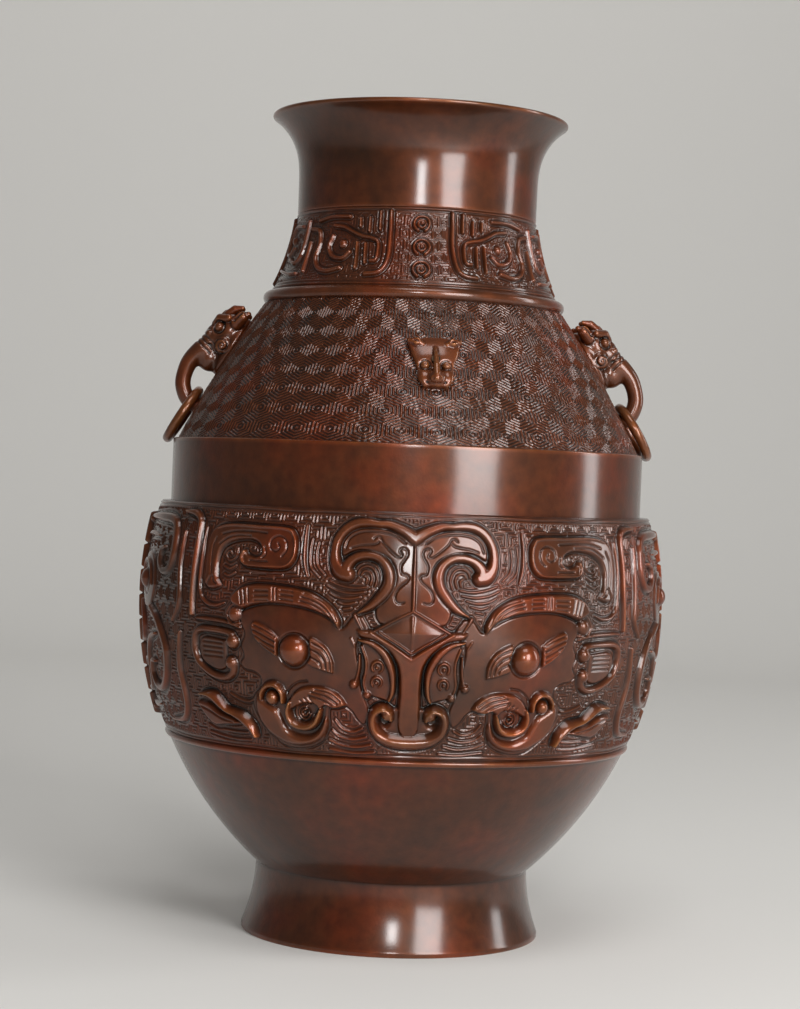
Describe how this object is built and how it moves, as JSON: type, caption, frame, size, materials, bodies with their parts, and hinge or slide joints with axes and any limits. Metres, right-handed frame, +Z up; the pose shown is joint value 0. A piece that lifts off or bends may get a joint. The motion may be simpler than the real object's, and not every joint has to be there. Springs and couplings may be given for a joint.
{
  "type": "bronze hu vessel",
  "caption": "Cast bronze hu vase with flared mouth, diapered shoulder, mask-banded belly, flared foot ring, and beast-head handles that carry loose rings.",
  "frame": {"origin": "centre of the foot's underside, on the vessel's axis at table level", "axes": "+Z up along the vessel's axis, -Y towards the front mask, +X through the right-hand ring handle seen from the front"},
  "size_m": [0.1938, 0.193, 0.3],
  "materials": {
    "patinated_bronze": "cast bronze with a reddish-brown patina, waxed to a satin gloss",
    "ring_bronze": "cast bronze ring, brown patina rubbed through where it swings",
    "plate_bronze": "plain hammered bronze plate, dull brown",
    "rivet_bronze": "peened bronze rivets, dull brown",
    "solder": "dull grey soft solder"
  },
  "bodies": {
    "vessel": {"vessel_body": "patinated_bronze", "base_plate": "plate_bronze", "base_solder": "solder", "left_handle": "patinated_bronze", "right_handle": "patinated_bronze", "left_handle_rivets": "rivet_bronze", "right_handle_rivets": "rivet_bronze", "front_beast_head": "patinated_bronze", "back_beast_head": "patinated_bronze", "front_head_rivet": "rivet_bronze", "back_head_rivet": "rivet_bronze"},
    "left_ring": {"left_ring": "ring_bronze"},
    "right_ring": {"right_ring": "ring_bronze"}
  },
  "joints": [
    {"name": "left_ring_swing", "type": "hinge", "parent": "vessel", "child": "left_ring", "pos_m": [-0.07808, 0, 0.19674], "axis": [0, 1, 0], "range_deg": [0, 135]},
    {"name": "right_ring_swing", "type": "hinge", "parent": "vessel", "child": "right_ring", "pos_m": [0.07808, 0, 0.19674], "axis": [0, -1, 0], "range_deg": [0, 135]}
  ]
}
